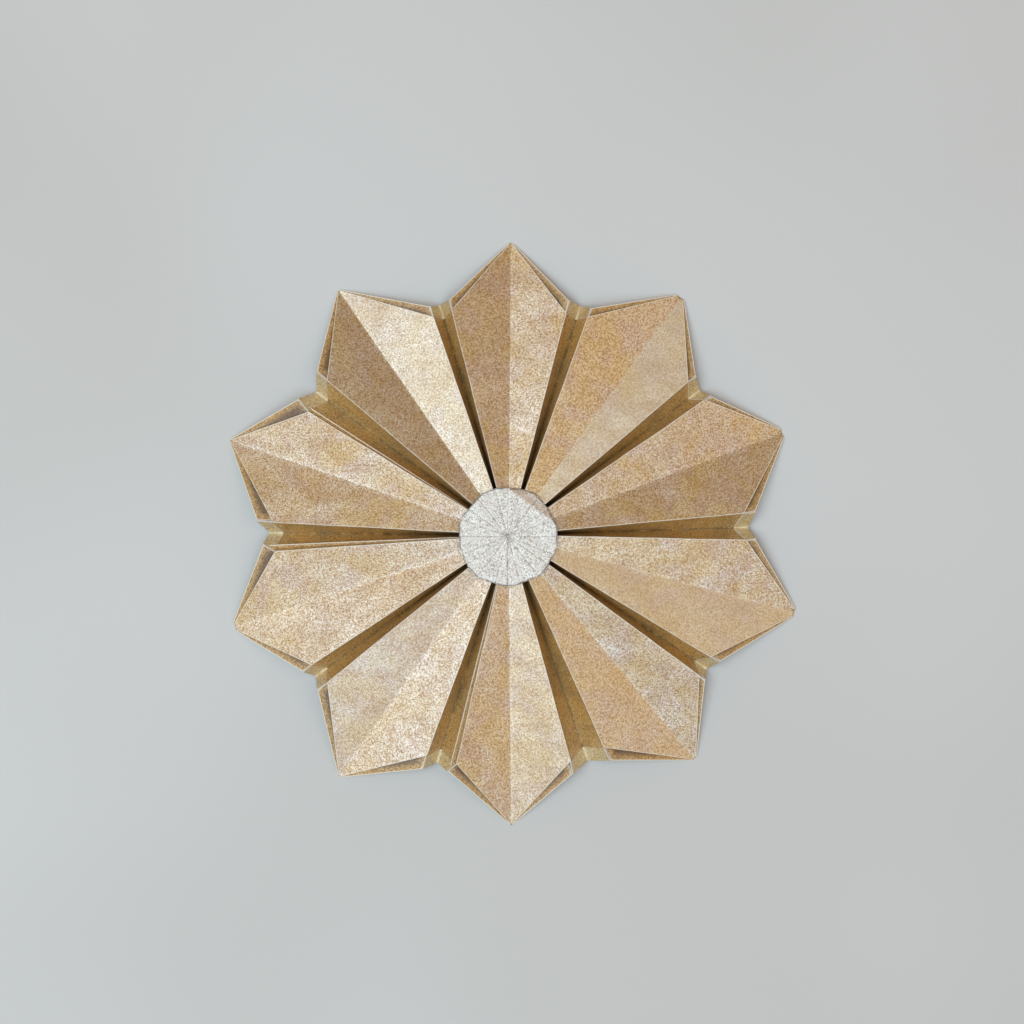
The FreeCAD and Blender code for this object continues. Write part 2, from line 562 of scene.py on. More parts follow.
@dataclass(frozen=True)
class PearlPaper:
    """Paper with a pearl-and-gold coat on a fine leathery grain."""

    name: str
    ground: Colour
    warm: Colour
    cool: Colour
    glint: Colour
    pit: Colour
    metal: float = 0.10
    shine: float = 1.9
    rough: float = 0.36
    pearl: Colour = (0.88, 0.98, 0.98, 1.0)
    coat: float = 1.0
    coat_rough: float = 0.42
    coat_index: float = 3.4
    cloud_size: float = 16 * MM
    drift_size: float = 7 * MM
    mottle_size: float = 1.9 * MM
    worm_size: float = 0.46 * MM
    fine_size: float = 0.32 * MM
    leather_size: float = 0.6 * MM
    relief: float = 0.10 * MM
    speck: float = 2.7
    worn: float = 1.0
    # Painted shade, darker away from the cut edge where the sheet lies under the cover; the defaults keep it
    # off.
    pocket_shade: Colour = tone(70, 46, 24)
    pocket_shade_from: float = 90.0
    pocket_shade_to: float = 100.0
    fold: Colour = CORE
    fold_share: float = 0.05
    fold_width: float = 0.45

    def material(self) -> bpy.types.Material:
        """Makes the finish.

        Returns:
            The material.
        """
        paint = Shader(self.name)
        clouds = paint.noise(self.cloud_size, 3.0, 0.55)
        drift = paint.noise(self.drift_size, 2.0, 0.5)
        mottle = paint.noise(self.mottle_size, 3.0, 0.6)
        worms = paint.noise(self.worm_size, 2.0, 0.55, 1.4)
        fine = paint.noise(self.fine_size, 1.0, 0.5)
        leather = paint.cells(self.leather_size)
        colour = paint.mix(self.ground, self.warm, clouds.step(0.44, 0.60) * 0.9)
        colour = paint.mix(colour, self.cool, drift.step(0.48, 0.62) * 0.8)
        # The grain runs from -0.5 in a pit to 0.5 on a glint.
        grain = (worms - 0.5) * 1.2 + (fine - 0.5) + (mottle - 0.5) * 0.15 + (0.42 - leather) * 0.25
        grain = paint.node("ShaderNodeClamp", {}, {"Value": grain * self.speck, "Min": -0.5, "Max": 0.5})
        colour = paint.mix(colour, self.glint, grain.step(0.0, 0.5) * 0.9)
        colour = paint.mix(colour, self.pit, grain.step(0.0, -0.5) * 0.9)
        # The attributes from_edge and from_fold are in millimetres.
        edge_distance = paint.number_on("from_edge")
        # Painted shade: darker away from the cut edge, where the back lies in the shade of the cover.
        under = edge_distance.step(self.pocket_shade_from, self.pocket_shade_to)
        colour = paint.mix(colour, self.pocket_shade, under * (0.75 + mottle * 0.4))
        edge = edge_distance.step(0.26, 0.08)
        # The fold colour along the fold: a faint line of white core on the cover, painted shade on the
        # gusset, a painted highlight on the hem.
        crease = paint.number_on("from_fold").step(self.fold_width, 0.05)
        colour = paint.mix(colour, self.fold, crease * mottle.step(0.30, 0.60) * self.fold_share)
        # Painted light and shade on a whole half: brighter above 0, darker below 0.
        painted_facet_light = paint.number_on("painted_facet_light")
        colour = paint.mix(colour, PAINTED_FACET_LIGHT, painted_facet_light.step(0.0, 1.0) * 0.8)
        colour = paint.mix(colour, PAINTED_FACET_SHADE, painted_facet_light.step(0.0, -1.0) * 0.8)
        bare = edge * (0.35 + mottle * 1.1) * self.worn
        bare = paint.node("ShaderNodeClamp", {}, {"Value": bare})
        colour = paint.mix(colour, CORE, bare)
        height = worms * 0.8 + leather * 0.35 + fine * 0.25 + mottle * 0.25
        coat = (grain + 0.5) * (clouds.step(0.60, 0.40) * 0.45 + 0.72) * self.coat * (1.0 - bare)
        return paint.finish(
            {
                "Base Color": colour,
                "Metallic": (1.0 - bare) * self.metal,
                "Roughness": self.rough + (worms - 0.5) * 0.45 + (drift - 0.5) * 0.25,
                "IOR": self.shine,
                "Specular Tint": self.pearl,
                "Coat Weight": coat,
                "Coat Roughness": self.coat_rough,
                "Coat IOR": self.coat_index,
                "Normal": paint.bump(height, self.relief),
            }
        )


@dataclass(frozen=True)
class DiscPaper:
    """Silvery pearl paper, creased by an earlier folding that met at its middle."""

    name: str
    ground: Colour
    warm: Colour
    line: Colour
    # Painted shade for the part bent down at the rim.
    bent_shade: Colour
    pit: Colour = tone(118, 100, 84)
    fleck: Colour = tone(96, 82, 70)
    glint: Colour = tone(255, 255, 250)
    # Painted shadow along the cut edge.
    outline: Colour = tone(74, 52, 38)
    metal: float = 0.20
    shine: float = 2.3
    rough: float = 0.42
    mottle_size: float = 1.4 * MM
    drift_size: float = 6 * MM
    worm_size: float = 0.48 * MM
    fine_size: float = 0.30 * MM
    relief: float = 0.08 * MM

    def material(self) -> bpy.types.Material:
        """Makes the finish.

        Returns:
            The material.
        """
        paint = Shader(self.name)
        mottle = paint.noise(self.mottle_size, 3.0, 0.6)
        drift = paint.noise(self.drift_size, 2.0, 0.5)
        worms = paint.noise(self.worm_size, 2.0, 0.6, 1.6)
        fine = paint.noise(self.fine_size, 1.0, 0.5)
        colour = paint.mix(self.ground, self.warm, drift.step(0.46, 0.66) * 0.7)
        colour = paint.mix(colour, self.pit, worms.step(0.50, 0.37) * 0.85)
        colour = paint.mix(colour, self.fleck, fine.step(0.43, 0.32) * 0.6)
        colour = paint.mix(colour, self.glint, worms.step(0.52, 0.62) * 0.85)
        # Painted shade on the part bent down at the rim.
        bent_shade = paint.number_on("bent_shade") * (0.20 + drift.step(0.35, 0.6) * 0.40)
        colour = paint.mix(colour, self.bent_shade, bent_shade)
        crease = paint.number_on("from_crease").step(0.20, 0.02)
        colour = paint.mix(colour, self.line, crease * mottle.step(0.30, 0.62) * 0.6)
        # Painted shadow: a thin dark line along the cut edge, where the disc stands above the covers.
        edge = paint.number_on("from_edge").step(0.48, 0.20)
        colour = paint.mix(colour, self.outline, edge * mottle.step(0.30, 0.55) * 0.9)
        height = worms * 0.8 + fine * 0.3 + mottle * 0.6
        return paint.finish(
            {
                "Base Color": colour,
                "Metallic": self.metal,
                "Roughness": self.rough + (worms - 0.5) * 0.45,
                "IOR": self.shine,
                "Normal": paint.bump(height, self.relief),
            }
        )


@dataclass(frozen=True)
class PlainPaper:
    """Uncoated paper: the cut edges and the backing disc."""

    name: str
    ground: Colour
    speck: Colour
    rough: float = 0.75
    fibre_size: float = 0.5 * MM
    cloud_size: float = 5 * MM
    relief: float = 0.03 * MM

    def material(self) -> bpy.types.Material:
        """Makes the finish.

        Returns:
            The material.
        """
        paint = Shader(self.name)
        fibre = paint.noise(self.fibre_size, 4.0, 0.7)
        cloud = paint.noise(self.cloud_size, 2.0, 0.5)
        share = fibre.step(0.50, 0.72) * 0.7 + cloud.step(0.5, 0.7) * 0.2
        return paint.finish(
            {
                "Base Color": paint.mix(self.ground, self.speck, share),
                "Roughness": self.rough + (fibre - 0.5) * 0.3,
                "Normal": paint.bump(fibre, self.relief),
            }
        )


@dataclass
class Wardrobe:
    """Every finish of the star, made once."""

    cover: bpy.types.Material = field(init=False)
    back: bpy.types.Material = field(init=False)
    gusset: bpy.types.Material = field(init=False)
    hem: bpy.types.Material = field(init=False)
    disc: bpy.types.Material = field(init=False)
    backing: bpy.types.Material = field(init=False)
    core: bpy.types.Material = field(init=False)

    def __post_init__(self) -> None:
        """Makes the materials."""
        self.cover = PearlPaper(
            "champagne_pearl_paper",
            ground=tone(226, 175, 108),
            warm=tone(234, 182, 92),
            cool=tone(220, 168, 130),
            glint=tone(246, 208, 150),
            pit=tone(182, 129, 68),
        ).material()
        # The back is a darker copy of the cover's paper, as painted shade, with more painted shade away from
        # its edge.
        self.back = PearlPaper(
            "shaded_back_paper",
            ground=tone(200, 152, 88),
            warm=tone(208, 154, 84),
            cool=tone(190, 146, 92),
            glint=tone(222, 178, 114),
            pit=tone(148, 104, 54),
            shine=1.7,
            rough=0.45,
            pearl=(1.0, 0.90, 0.74, 1.0),
            coat=0.2,
            worn=1.5,
            pocket_shade=tone(112, 76, 38),
            pocket_shade_from=0.5,
            pocket_shade_to=2.4,
        ).material()
        self.gusset = PearlPaper(
            "ochre_gusset_paper",
            ground=tone(206, 164, 100),
            warm=tone(214, 166, 92),
            cool=tone(178, 144, 92),
            glint=tone(228, 188, 124),
            pit=tone(152, 110, 58),
            shine=2.0,
            pearl=(1.0, 0.94, 0.80, 1.0),
            coat=0.14,
            worn=0.0,
            speck=2.2,
            # Painted shade along the bottom of the fold.
            fold=tone(46, 32, 14),
            fold_share=0.5,
            fold_width=0.5,
        ).material()
        self.hem = PearlPaper(
            "pale_hem_paper",
            ground=tone(222, 192, 136),
            warm=tone(220, 184, 132),
            cool=tone(214, 190, 150),
            glint=tone(242, 222, 172),
            pit=tone(184, 150, 98),
            shine=2.2,
            pearl=(1.0, 0.94, 0.82, 1.0),
            coat=0.3,
            speck=2.4,
            # A painted highlight along the fold.
            fold=tone(255, 240, 206),
            fold_share=0.7,
        ).material()
        self.disc = DiscPaper(
            "silver_disc_paper",
            ground=tone(240, 218, 192),
            warm=tone(238, 210, 184),
            line=tone(104, 90, 84),
            bent_shade=tone(196, 152, 108),
        ).material()
        self.backing = PlainPaper(
            "plain_backing_paper", tone(206, 184, 150), tone(176, 150, 116)
        ).material()
        self.core = PlainPaper("white_paper_core", tone(240, 232, 224), tone(212, 198, 182)).material()


# Pieces ---------------------------------------------------------------------------------------------------


@dataclass(frozen=True)
class Fold:
    """How one petal came out under the hand.

    Angles are in degrees from the petal's nominal axis, and lengths are in millimetres past the
    nominal ones. Painted light from -1 to 1 makes one half's paper brighter than the rest, and darker,
    as painted shade, below 0. It is set for the brightness that the lamps and the folds don't give.
    """

    number: int
    lean: float
    reach: float
    left: float
    left_reach: float
    right: float
    right_reach: float
    blunt: float
    left_painted_light: float = 0.0
    right_painted_light: float = 0.0

    @property
    def azimuth(self) -> float:
        """Where the petal's axis points, in radians."""
        return math.pi / 2 + (self.number - 1) * STEP


@dataclass(frozen=True)
class Gap:
    """How the two rim corners of one gap came out.

    Angles are in degrees from the gap's axis, and lengths are in millimetres past the nominal rim.
    """

    number: int
    left: float
    left_reach: float
    right: float
    right_reach: float

    @property
    def azimuth(self) -> float:
        """Where the gap's axis points, in radians."""
        return math.pi / 2 + (self.number - 0.5) * STEP


# The places in FOLDS and GAPS are measurements converted outside this script.
# Each row's blunt tip and painted light and shade are given.
FOLDS = (
    Fold(1, -0.4, -0.6, 14.3, -0.5, -14.5, -1.3, 0.6, left_painted_light=-0.35),
    Fold(2, -1.1, 1.0, 13.6, 1.3, -17.0, -1.0, 0.6, left_painted_light=-0.5, right_painted_light=0.4),
    Fold(3, -0.7, 0.0, 15.0, 0.5, -13.6, 0.3, 0.5, left_painted_light=-0.25),
    Fold(4, 0.6, -0.6, 15.5, 0.6, -14.0, 0.1, 1.4),
    Fold(5, 1.0, 0.4, 15.6, 0.4, -14.9, 0.0, 0.6, right_painted_light=0.3),
    Fold(6, 0.5, -1.1, 15.4, 0.1, -12.9, 0.3, 0.4, left_painted_light=0.3),
    Fold(7, 3.7, -0.5, 17.6, 0.8, -11.9, -0.3, 0.8, left_painted_light=-0.3, right_painted_light=0.25),
    Fold(8, 2.7, 1.4, 16.8, 1.0, -13.2, 0.6, 1.4, right_painted_light=0.45),
    Fold(9, 2.4, 0.3, 16.6, 1.2, -12.8, 0.6, 1.5, right_painted_light=-0.4),
    Fold(10, 0.1, 0.6, 16.1, -0.6, -13.6, 0.5, 1.5, right_painted_light=0.5),
)

GAPS = (
    Gap(1, 0.8, -1.3, -3.7, -1.0),
    Gap(2, 3.0, 1.2, -4.2, 1.7),
    Gap(3, 2.1, -0.1, -3.1, 1.7),
    Gap(4, 2.9, 0.1, -2.2, 0.3),
    Gap(5, 3.4, -0.6, -2.1, 1.0),
    Gap(6, 6.1, 0.4, -2.9, 0.4),
    Gap(7, 4.9, 0.1, -0.3, -0.5),
    Gap(8, 5.1, 0.4, -0.8, 0.2),
    Gap(9, 4.0, -0.3, -1.4, -0.2),
    Gap(10, 3.3, -1.2, -1.8, -1.4),
)


def at(radius: float, angle: float, rise: float) -> Vector:
    """A point from its distance from the star's axis, its angle and its rise."""
    return Vector((radius * math.cos(angle), radius * math.sin(angle), rise))


def uneven(index: int, amount: float, rate: float) -> float:
    """A small deviation that differs from one index to the next."""
    return amount * math.sin(index * rate)


@dataclass
class Nominal:
    """The star's nominal corners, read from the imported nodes. Each is in its own petal's or gap's frame."""

    cover_crown: float = field(init=False)
    cover_tip: Vector = field(init=False)
    shoulder: Vector = field(init=False)
    back_crown: float = field(init=False)
    back_tip: Vector = field(init=False)
    rim: Vector = field(init=False)
    inner: float = field(init=False)
    fold_rise: float = field(init=False)
    notch: float = field(init=False)

    def __post_init__(self) -> None:
        """Reads the first cover, back and gusset."""
        cover = self.in_own_frame("petal_cover_01", math.pi / 2)
        back = self.in_own_frame("petal_back_01", math.pi / 2)
        gusset = self.in_own_frame("valley_gusset_01", math.pi / 2 + STEP / 2)
        self.cover_tip, self.shoulder, self.cover_crown = self.corners(cover)
        self.back_tip, self.rim, self.back_crown = self.corners(back)
        self.inner = min(p.x for p in cover)
        keel = [p for p in gusset if abs(p.y) < ON_FOLD]
        self.fold_rise = min(p.z for p in keel) + PAPER
        self.notch = max(p.x for p in keel if p.z < self.fold_rise + PAPER)

    @staticmethod
    def in_own_frame(node: str, azimuth: float) -> list[Vector]:
        """A node's points, turned so that its axis lies along X."""
        turn = Matrix.Rotation(-azimuth, 3, "Z")
        return [turn @ vertex.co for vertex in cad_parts[node].data.vertices]

    @staticmethod
    def corners(points: list[Vector]) -> tuple[Vector, Vector, float]:
        """A petal sheet's tip, its left corner, and the rise of its crease at the star's axis.

        Args:
            points: The sheet's points in its own frame.

        Returns:
            The three, on the front of the paper.
        """
        tip = max(points, key=lambda p: (round(p.x, DIGITS), p.z))
        side = max(points, key=lambda p: (round(p.y, DIGITS), p.z))
        start = min(p.x for p in points)
        ends = [p for p in points if p.x < start + NEAR and abs(p.y) < ON_FOLD]
        inner = max(ends, key=lambda p: p.z)
        slope = (inner.z - tip.z) / (tip.x - inner.x)
        return tip.copy(), side.copy(), inner.z + slope * inner.x


@dataclass
class PetalSheet:
    """One folded kite of paper: a trough with its crease along the petal's axis."""

    name: str
    azimuth: float
    crown: float
    tip: Vector
    left: Vector
    right: Vector
    inner: float
    blunt: float
    painted_lights: tuple[float, float] = (0.0, 0.0)
    cell: float = 1.1 * MM
    band: float = 0.30 * MM
    crease_width: float = 0.12 * MM

    def unfold(self, corner: Vector) -> tuple[float, float, float]:
        """Where a corner lies on the flat sheet, and how far its half is folded up.

        Args:
            corner: The corner, in the petal's frame.

        Returns:
            Its place along the crease, its place across, and the fold in radians.
        """
        slope = math.atan2(self.crown - self.tip.z, self.tip.x)
        along = corner.x * math.cos(slope) + (self.crown - corner.z) * math.sin(slope)
        up = (corner.z - self.crown) * math.cos(slope) + corner.x * math.sin(slope)
        return along, math.copysign(math.hypot(corner.y, up), corner.y), math.atan2(up, abs(corner.y))

    def build(self) -> bpy.types.Object:
        """Cuts the flat kite, folds it, softens the crease and puts it in its place.

        Returns:
            The sheet, with no thickness.
        """
        bench = Bench(self.name)
        slope = math.atan2(self.crown - self.tip.z, self.tip.x)
        length = math.hypot(self.tip.x, self.crown - self.tip.z)
        half_width = max(abs(self.unfold(self.left)[1]), abs(self.unfold(self.right)[1]))
        bench.flat_sheet(self.inner - self.cell, length + self.cell, half_width + self.cell, self.cell)
        bench.cut(Vector((self.inner, 0, 0)), Vector((-1, 0, 0)))
        bench.cut(Vector((length - self.blunt, 0, 0)), Vector((1, 0, 0)))
        centre, point = Vector((0, 0, 0)), Vector((length, 0, 0))
        folds: dict[Half, float] = {}
        for half, corner in ((Half.LEFT, self.left), (Half.RIGHT, self.right)):
            along, across, folds[half] = self.unfold(corner)
            flat = Vector((along, across, 0))
            for start, end in ((centre, flat), (flat, point)):
                line = (end - start).normalized()
                outward = Vector((-line.y, line.x, 0)) * half.value
                bench.cut(start, outward)
                bench.cut(start - outward * self.band, outward, clear=False)
        for half in Half:
            bench.pick(lambda place: place.y * half.value > TINY)
            bench.turn(folds[half] * half.value, "X")
        bench.soften(lambda place: abs(place.y) < TINY, self.crease_width)
        bench.turn_all(slope, "Y")
        bench.shift((0.0, 0.0, self.crown))
        piece = bench.close()
        corners = (centre, self.left, self.tip, self.right)
        outline = tuple(zip(corners, corners[1:] + corners[:1]))
        Press.mark(piece, "from_edge", lambda p: min(from_line(p, a, b) for a, b in outline) / MM)
        Press.mark(piece, "from_fold", lambda p: abs(p.y) / MM)
        # Each half's painted light and shade.
        Press.mark(piece, "painted_facet_light", lambda p: self.painted_lights[0] if p.y > 0 else self.painted_lights[1])
        bench.take()
        bench.turn_all(self.azimuth, "Z")
        return bench.close()


@dataclass
class Petal:
    """One petal: the cover in front, the back behind it."""

    fold: Fold
    rims: tuple[Gap, Gap]
    nominal: Nominal
    finishes: Wardrobe
    back_inset: float = math.radians(0.35)
    back_reach: float = 0.3
    cover_waves: float = 0.90 * MM
    back_waves: float = 0.20 * MM
    broad_wave: float = 13 * MM
    narrow_wave: float = 4.5 * MM
    narrow_share: float = 0.30
    glued_to: float = 8 * MM
    loose_over: float = 14 * MM

    @staticmethod
    def corner(nominal: Vector, angle: float, reach: float) -> Vector:
        """A nominal corner, moved to where the hand left it.

        Args:
            nominal: The nominal corner.
            angle: Its true angle from the petal's axis, radians.
            reach: How much further out it is.

        Returns:
            The corner.
        """
        return at(math.hypot(nominal.x, nominal.y) + reach, angle, nominal.z)

    def build(self) -> list[bpy.types.Object]:
        """Builds and dresses both sheets.

        Returns:
            The cover and the back.
        """
        fold, nominal = self.fold, self.nominal
        lean = math.radians(fold.lean)
        number = f"{fold.number:02d}"
        cover = PetalSheet(
            f"pearl_cover_{number}",
            fold.azimuth + lean,
            nominal.cover_crown,
            nominal.cover_tip + Vector((fold.reach * MM, 0, 0)),
            self.corner(nominal.shoulder, math.radians(fold.left) - lean, fold.left_reach * MM),
            self.corner(nominal.shoulder, math.radians(fold.right) - lean, fold.right_reach * MM),
            nominal.inner,
            fold.blunt * MM,
            (fold.left_painted_light, fold.right_painted_light),
        )
        before, after = self.rims
        left = STEP / 2 + math.radians(after.right) - lean - self.back_inset
        right = -STEP / 2 + math.radians(before.left) - lean + self.back_inset
        back = PetalSheet(
            f"shaded_back_{number}",
            fold.azimuth + lean,
            nominal.back_crown,
            nominal.back_tip + Vector(((fold.reach + self.back_reach) * MM, 0, 0)),
            self.corner(nominal.rim, left, after.right_reach * MM),
            self.corner(nominal.rim, right, before.left_reach * MM),
            nominal.inner,
            fold.blunt * MM,
        )
        return [
            self.finish(cover, self.finishes.cover, f"petal_cover_{number}", Slot.PETAL, self.cover_waves),
            self.finish(back, self.finishes.back, f"petal_back_{number}", Slot.BACK, self.back_waves),
        ]

    def finish(
        self, sheet: PetalSheet, material: bpy.types.Material, node: str, slot: Slot, waves: float
    ) -> bpy.types.Object:
        """Waves, thickens and dresses one sheet.

        Args:
            sheet: The sheet's sizes.
            material: Its finish.
            node: The CAD node that it stands for.
            slot: The record's slot.
            waves: Height of its waves.

        Returns:
            The piece.
        """
        piece = sheet.build()
        Press.dress(piece, material, self.finishes.core)

        def looseness(place: Vector) -> float:
            """How loose the sheet is at a point: 0 at its tip and where it is glued under the disc."""
            out = place.xy.length
            return min((sheet.tip.x - out) / self.loose_over, (out - self.glued_to) / self.loose_over, 1.0)

        Press.wave(piece, self.broad_wave, waves, looseness)
        Press.wave(piece, self.narrow_wave, waves * self.narrow_share, looseness)
        Press.thicken(piece)
        Press.hand_over(piece, node, slot)
        return piece


@dataclass
class Gusset:
    """The V-shaped strip in one gap, with its outer end turned over."""

    gap: Gap
    before: Fold
    after: Fold
    nominal: Nominal
    finishes: Wardrobe
    stations: int = 7
    lean: float = 0.8
    bend: float = 0.93
    drop: float = 0.55 * MM
    tuck: float = 0.10 * MM
    crease_width: float = 0.25 * MM
    cuts: int = 4
    flap_cuts: int = 3
    flap_lift: float = 0.36 * MM
    flap_shares: tuple[float, ...] = (0.935, 0.955, 0.985, 1.0)
    wave_size: float = 9 * MM
    wave_height: float = 0.5 * MM
    glued_to: float = 10 * MM
    glued_under: float = 1.5 * MM
    loose_over: float = 20 * MM
    sharp: float = 40.0

    def drift(self) -> float:
        """The fold's sideways drift for each unit along the gap."""
        return math.sin(math.radians((self.gap.left + self.gap.right) / 2)) * self.lean

    def edge(self, half: Half, share: float) -> Vector:
        """A point on one of the strip's two long edges.

        Args:
            half: Which edge.
            share: From 0 at the inner end to 1 at the rim.

        Returns:
            The point, in the gap's frame.
        """
        nominal, gap = self.nominal, self.gap
        if half is Half.LEFT:
            lean, reach = self.after.right, self.after.right_reach
            rim, rim_reach = gap.left, gap.left_reach
        else:
            lean, reach = self.before.left, self.before.left_reach
            rim, rim_reach = gap.right, gap.right_reach
        angle = half.value * STEP / 2 + math.radians(lean)
        side = math.hypot(nominal.shoulder.x, nominal.shoulder.y) + reach * MM
        crown, low = nominal.cover_crown - self.drop, nominal.shoulder.z - self.drop
        if share < self.bend:
            out = nominal.inner + (side - nominal.inner) * (share / self.bend)
            place = at(out, angle, crown + (low - crown) * (out / side))
        else:
            rim_out = math.hypot(nominal.rim.x, nominal.rim.y) + rim_reach * MM
            corner = at(rim_out, math.radians(rim), nominal.rim.z)
            place = at(side, angle, low).lerp(corner, (share - self.bend) / (1 - self.bend))
        place.y += self.tuck * half.value
        return place

    def section(self, share: float, lift: float) -> tuple[Vector, Vector, Vector]:
        """The strip's cross-section: left edge, fold, right edge, in the gap's frame.

        Args:
            share: From 0 at the inner end to 1 at the rim.
            lift: How far the section stands off the strip.

        Returns:
            The three points.
        """
        left, right = self.edge(Half.LEFT, share), self.edge(Half.RIGHT, share)
        left.z += lift
        right.z += lift
        out = self.nominal.inner + (self.nominal.notch - self.nominal.inner) * share
        return left, Vector((out, out * self.drift(), self.nominal.fold_rise + lift)), right

    def strip(self, name: str, shares: Sequence[float], lift: float) -> bpy.types.Object:
        """Draws the section at the inner end, and extrudes it from station to station.

        Args:
            name: The strip's name.
            shares: The stations.
            lift: How far it stands off.

        Returns:
            The strip, with no thickness.
        """
        bench = Bench(name)
        bpy.ops.mesh.primitive_plane_add(size=1.0)
        bench.take()
        bpy.ops.mesh.select_all(action="SELECT")
        bpy.ops.mesh.merge(type="CENTER")
        left, fold, right = self.section(shares[0], lift)
        bench.shift(left)
        for start, end in ((left, fold), (fold, right)):
            bpy.ops.mesh.extrude_region_move(TRANSFORM_OT_translate={"value": tuple(end - start)})
        bpy.ops.mesh.select_all(action="SELECT")
        last = (left, fold, right)
        for share in shares[1:]:
            new = self.section(share, lift)
            step = new[1] - last[1]
            bpy.ops.mesh.extrude_region_move(TRANSFORM_OT_translate={"value": tuple(step)})
            for old, target in ((last[0], new[0]), (last[2], new[2])):
                moved = old + step
                bench.pick(lambda place: (place - moved).length < NEAR)
                bench.shift(target - moved)
            bench.pick(lambda place: any((place - point).length < NEAR for point in new))
            last = new
        slope, keel = self.drift(), self.nominal.fold_rise + lift
        bench.soften(
            lambda p: abs(p.y - p.x * slope) < ON_FOLD and abs(p.z - keel) < ON_FOLD, self.crease_width
        )
        return bench.close()

    def build(self) -> bpy.types.Object:
        """Builds the strip and its turned-over end, and dresses them.

        Returns:
            The piece.
        """
        number = f"{self.gap.number:02d}"
        shares = [index / self.stations * self.bend for index in range(self.stations + 1)] + [1.0]
        base = self.strip(f"ochre_gusset_{number}", shares, 0.0)
        flap = self.strip(f"flap_{number}", self.flap_shares, self.flap_lift)
        ends = (self.flap_shares[0], self.flap_shares[-1])
        left, right = [[self.edge(half, share) for share in ends] for half in Half]
        slope = self.drift()
        for piece, cuts, finish in (
            (base, self.cuts, self.finishes.gusset),
            (flap, self.flap_cuts, self.finishes.hem),
        ):
            bench = Bench(piece.name)
            bench.reopen(piece)
            bpy.ops.mesh.select_all(action="SELECT")
            bpy.ops.mesh.subdivide(number_cuts=cuts)
            bench.face_up()
            bench.close()
            Press.mark(piece, "from_fold", lambda p: abs(p.y - p.x * slope) / MM)
            Press.mark(piece, "from_edge", lambda p: min(from_line(p, *left), from_line(p, *right)) / MM)
            bench.reopen(piece)
            bench.turn_all(self.gap.azimuth, "Z")
            bench.close()
            Press.dress(piece, finish, self.finishes.core)

        def looseness(place: Vector) -> float:
            """How loose the strip is at a point: 0 near the disc and along its glued fold."""
            return (place.xy.length - self.glued_to) / self.loose_over if place.z > self.glued_under else 0.0

        Press.wave(base, self.wave_size, self.wave_height, looseness)
        for piece in (base, flap):
            Press.thicken(piece)
        select_only(base)
        flap.select_set(True)
        bpy.ops.object.join()
        Press.hand_over(base, f"valley_gusset_{number}", Slot.GUSSET, self.sharp)
        return base


@dataclass
class CentreDisc:
    """The scissor-cut disc in the middle, with creases that meet at its centre."""

    finishes: Wardrobe
    half_width: float = 15 * MM
    cell: float = 0.9 * MM
    creases: int = 20
    crease_width: float = 0.3
    crease_depth: float = 0.07 * MM
    crease_stray: tuple[float, float] = (0.05, 1.9)
    band: float = 0.3
    snip_stray: tuple[float, float] = (0.07, 2.4)
    bent_at: float = math.radians(54)
    bent_from: float = 10.8 * MM
    bent_by: float = math.radians(11)
    off_centre: tuple[float, float] = (-0.2 * MM, -0.4 * MM)
    wave_size: float = 7 * MM
    wave_height: float = 0.35 * MM
    knocks: tuple[tuple[float, float], ...] = (
        (54.0, 10.8), (170.0, 11.4), (214.0, 11.9), (300.0, 12.1), (110.0, 12.0)
    )
    snips: tuple[float, ...] = (
        13.5, 13.2, 13.4, 13.6, 13.2, 13.5, 13.1, 13.5, 13.3, 13.4, 13.7, 13.3, 13.5, 13.2, 13.6, 13.3
    )

    def build(self) -> bpy.types.Object:
        """Snips, scores and dresses the disc.

        Returns:
            The piece.
        """
        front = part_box("centre_disc")[1].z
        bench = Bench("silver_disc")
        bench.flat_sheet(-self.half_width, self.half_width, self.half_width, self.cell)
        turn = math.tau / len(self.snips)
        lines = []
        for index, distance in enumerate(self.snips):
            outward = at(1.0, index * turn + uneven(index, *self.snip_stray), 0.0)
            bench.cut(outward * distance * MM, outward)
            bench.cut(outward * (distance - self.band) * MM, outward, clear=False)
            lines.append((outward, distance * MM))
        scores = self.creases // 2
        angles = [math.pi * index / scores + uneven(index, *self.crease_stray) for index in range(scores)]
        for angle in angles:
            across = Vector((-math.sin(angle), math.cos(angle), 0))
            for offset in (-self.crease_width, 0.0, self.crease_width):
                bench.cut(across * offset * MM, across, clear=False)

        def off_crease(place: Vector) -> float:
            """How far a point is from the nearest crease."""
            return min(abs(place.y * math.cos(a) - place.x * math.sin(a)) for a in angles)

        bench.pick(lambda place: off_crease(place) < TINY)
        bench.shift((0.0, 0.0, -self.crease_depth))
        for angle, distance in self.knocks:
            outward = at(1.0, math.radians(angle), 0.0)
            bench.cut(outward * distance * MM, outward, clear=False)
        bench.turn_all(-self.bent_at, "Z")
        bench.pick(lambda place: place.x > self.bent_from + TINY)
        bench.turn(self.bent_by, "Y", (self.bent_from, 0.0, 0.0))
        bench.turn_all(self.bent_at, "Z")
        piece = bench.close()
        away = at(1.0, self.bent_at, 0.0)
        Press.mark(piece, "from_edge", lambda p: min(d - p.dot(o) for o, d in lines) / MM)
        Press.mark(piece, "from_crease", lambda p: off_crease(p) / MM)
        # Marks the bent part for its painted shade.
        Press.mark(piece, "bent_shade", lambda p: 1.0 if p.dot(away) > self.bent_from else 0.0)
        bench.reopen(piece)
        bpy.ops.mesh.select_all(action="SELECT")
        bench.shift((*self.off_centre, front))
        bench.close()
        Press.dress(piece, self.finishes.disc, self.finishes.core)
        Press.wave(piece, self.wave_size, self.wave_height, lambda p: 1.0)
        Press.thicken(piece)
        Press.hand_over(piece, "centre_disc", Slot.DISC)
        return piece


